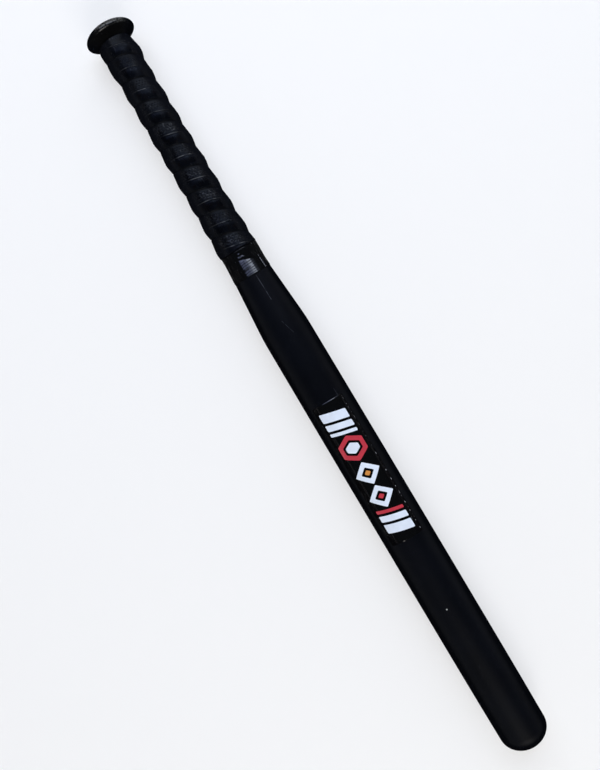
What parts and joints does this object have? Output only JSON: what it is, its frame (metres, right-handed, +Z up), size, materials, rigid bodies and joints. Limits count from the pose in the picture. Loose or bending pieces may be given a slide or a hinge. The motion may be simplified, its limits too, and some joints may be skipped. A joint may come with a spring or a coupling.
{
  "type": "baseball bat",
  "caption": "Black wooden baseball bat: turned billet with knob, padded tape wound round the handle, glossy finishing band and a film label on the barrel.",
  "frame": {"origin": "on the surface that the bat lies on, under the middle of its length", "axes": "+X along the turning axis from the knob to the tip, +Z up"},
  "size_m": [0.813, 0.0508, 0.0509],
  "materials": {
    "black_paint": "satin black paint over turned hardwood",
    "padded_tape": "matt padded synthetic leather with a perforated face",
    "glossy_film": "glossy black film, slightly wrinkled",
    "label_film": null
  },
  "bodies": {
    "root": {"bat_body": "black_paint", "grip_tape": "padded_tape", "grip_end_band": "glossy_film", "barrel_label": "label_film"}
  },
  "joints": []
}
